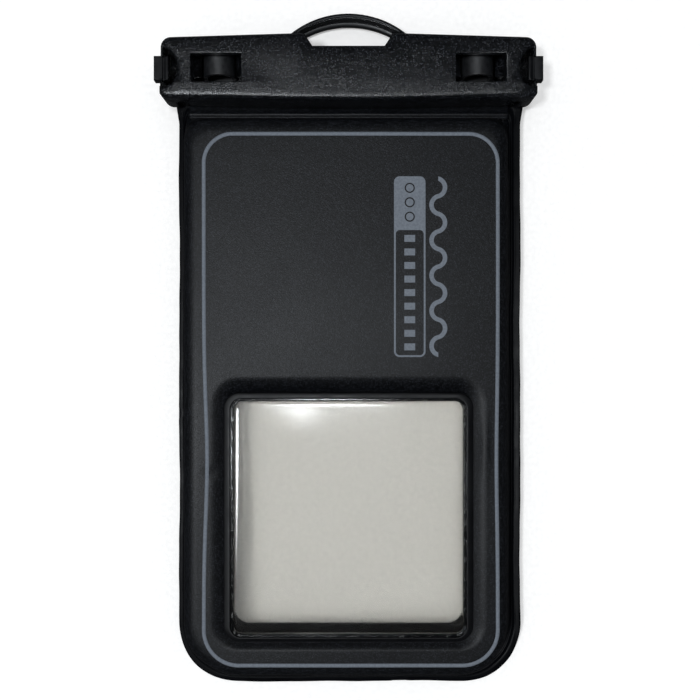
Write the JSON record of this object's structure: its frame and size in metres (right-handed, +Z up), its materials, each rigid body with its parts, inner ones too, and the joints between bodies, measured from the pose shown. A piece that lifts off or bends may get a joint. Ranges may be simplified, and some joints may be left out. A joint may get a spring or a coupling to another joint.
{
  "type": "floating waterproof phone pouch",
  "caption": "Foam-padded waterproof pouch for a phone, with clear windows on both sides, a hinged snap clip over its mouth, and lanyard loops.",
  "frame": {"origin": "centre of the pouch's bounding box, on the surface that it lies on with its screen side down", "axes": "+X across the pouch, +Y from the closed end to the clip, +Z up out of the padded camera side"},
  "size_m": [0.1288, 0.229, 0.017],
  "materials": {
    "grained_black_film": "fine leather-like grain, satin",
    "smooth_black_film": "smooth, slightly glossy",
    "glossy_black_film": "pressed smooth by the welding tool, glossy",
    "clear_film": "clear, glossy, lightly scratched",
    "closed_cell_foam": "matt closed-cell foam",
    "grained_black_plastic": "spark-eroded grain, satin",
    "smooth_black_plastic": "smooth moulded, satin",
    "black_rubber": "matt",
    "grey_ink": "flat printed ink"
  },
  "bodies": {
    "pouch": {"back_skin": "grained_black_film", "foam_pad": "closed_cell_foam", "pocket_lining": "smooth_black_film", "window_rim": "glossy_black_film", "camera_window": "clear_film", "front_frame": "smooth_black_film", "front_window": "clear_film", "neck_flap": "grained_black_film", "screen_side_jaw": "grained_black_plastic", "lanyard_loop_right": "smooth_black_plastic", "lanyard_loop_left": "smooth_black_plastic", "snap_bow_right": "smooth_black_plastic", "snap_bow_left": "smooth_black_plastic", "printed_border": "grey_ink", "printed_badge": "grey_ink", "printed_waves": "grey_ink"},
    "camera_side_jaw": {"camera_side_jaw": "grained_black_plastic", "seal_strip": "black_rubber"}
  },
  "joints": [
    {"name": "clip_hinge", "type": "hinge", "parent": "pouch", "child": "camera_side_jaw", "pos_m": [0, 0.0858, 0.01], "axis": [1, 0, 0], "range_deg": [0, 90], "deforming": ["neck_flap"]}
  ]
}
